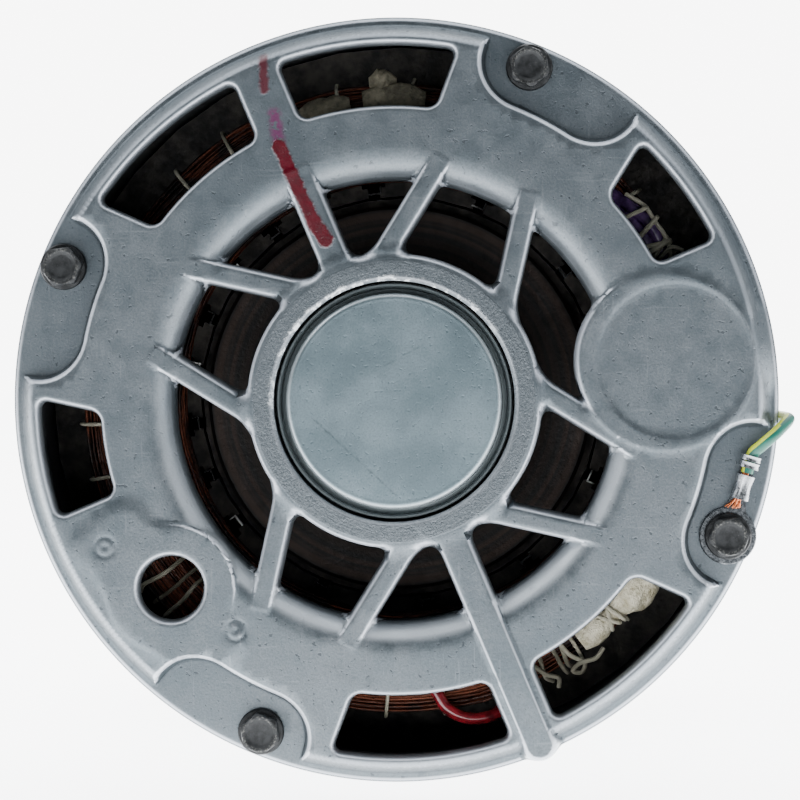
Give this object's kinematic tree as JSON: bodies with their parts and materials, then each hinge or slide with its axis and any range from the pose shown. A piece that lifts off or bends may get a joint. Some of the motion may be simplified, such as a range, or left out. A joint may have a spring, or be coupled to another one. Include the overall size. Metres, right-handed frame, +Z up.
{
  "type": "combustion fan",
  "caption": "Ventilated through-bolted fan motor with cast end shields, a capped rear bearing and a forward-curved blower wheel on its shaft, for a heating appliance.",
  "frame": {"origin": "centre of the mounting face of the front end shield, on the shaft axis", "axes": "+Y along the shaft, out of the motor and into the fan wheel; +Z up; +X to the right of someone facing the rear end shield"},
  "size_m": [0.1685, 0.214, 0.165],
  "materials": {
    "cast_aluminium": "matte die-cast",
    "cap_plate": "satin zinc plate",
    "shell_steel": "satin",
    "dark_hardware": "black oxide",
    "tin_plate": "bright tin",
    "lead_insulation": "green with a yellow stripe",
    "block_nylon": "natural nylon",
    "brass": "bright",
    "lamination_steel": "dull stacked sheet",
    "copper_wire": "varnished",
    "cream_sleeving": "varnished braid",
    "red_sleeve": "glossy",
    "purple_sleeve": "glossy",
    "bearing_steel": "ground",
    "spring_steel": "satin",
    "rotor_aluminium": "dull cast",
    "shaft_steel": "ground",
    "rubber": "matte",
    "hub_plate": "satin zinc plate",
    "galvanised_sheet": "spangled zinc"
  },
  "bodies": {
    "motor": {"rear_end_shield": "cast_aluminium", "rear_bearing_cap": "cap_plate", "motor_shell": "shell_steel", "front_end_shield": "cast_aluminium", "through_bolt_1": "dark_hardware", "through_bolt_2": "dark_hardware", "through_bolt_3": "dark_hardware", "through_bolt_4": "dark_hardware", "clamp_nut_1": "dark_hardware", "clamp_nut_2": "dark_hardware", "clamp_nut_3": "dark_hardware", "clamp_nut_4": "dark_hardware", "ring_terminal": "tin_plate", "ground_lead": "lead_insulation", "socket_block": "block_nylon", "connector_tab_1": "brass", "connector_tab_2": "brass", "connector_tab_3": "brass", "stator_core": "lamination_steel", "main_winding": "copper_wire", "start_winding": "copper_wire", "thermal_protector": "cream_sleeving", "splice_sleeve_1": "cream_sleeving", "splice_sleeve_2": "cream_sleeving", "red_winding_lead": "red_sleeve", "purple_winding_lead": "purple_sleeve", "rear_bearing_outer_ring": "bearing_steel", "bearing_wave_spring": "spring_steel", "front_bearing_outer_ring": "bearing_steel", "front_bearing_snap_ring": "spring_steel"},
    "rotor": {"shaft": "shaft_steel", "rotor_core": "lamination_steel", "rotor_end_ring_rear": "rotor_aluminium", "rotor_end_ring_front": "rotor_aluminium", "shaft_slinger": "rubber", "rear_bearing_inner_ring": "bearing_steel", "front_bearing_inner_ring": "bearing_steel", "wheel_hub": "hub_plate", "hub_set_screw": "dark_hardware", "wheel_backplate": "galvanised_sheet", "wheel_blades": "galvanised_sheet", "wheel_inlet_ring": "galvanised_sheet", "wheel_rivet_1": "hub_plate", "wheel_rivet_2": "hub_plate", "wheel_rivet_3": "hub_plate", "wheel_rivet_4": "hub_plate"},
    "rear_balls": {"rear_bearing_ball_cage": "bearing_steel"},
    "front_balls": {"front_bearing_ball_cage": "bearing_steel"}
  },
  "joints": [
    {"name": "rotor_spin", "type": "hinge", "parent": "motor", "child": "rotor", "pos_m": [0, 0, 0], "axis": [0, 1, 0], "continuous": true},
    {"name": "rear_balls_roll", "type": "hinge", "parent": "motor", "child": "rear_balls", "pos_m": [0, -0.128, 0], "axis": [0, 1, 0], "continuous": true},
    {"name": "front_balls_roll", "type": "hinge", "parent": "motor", "child": "front_balls", "pos_m": [0, -0.0145, 0], "axis": [0, 1, 0], "continuous": true}
  ],
  "couplings": [
    {"joint": "rear_balls_roll", "follows": "rotor_spin", "ratio": 0.3877},
    {"joint": "front_balls_roll", "follows": "rotor_spin", "ratio": 0.3877}
  ]
}
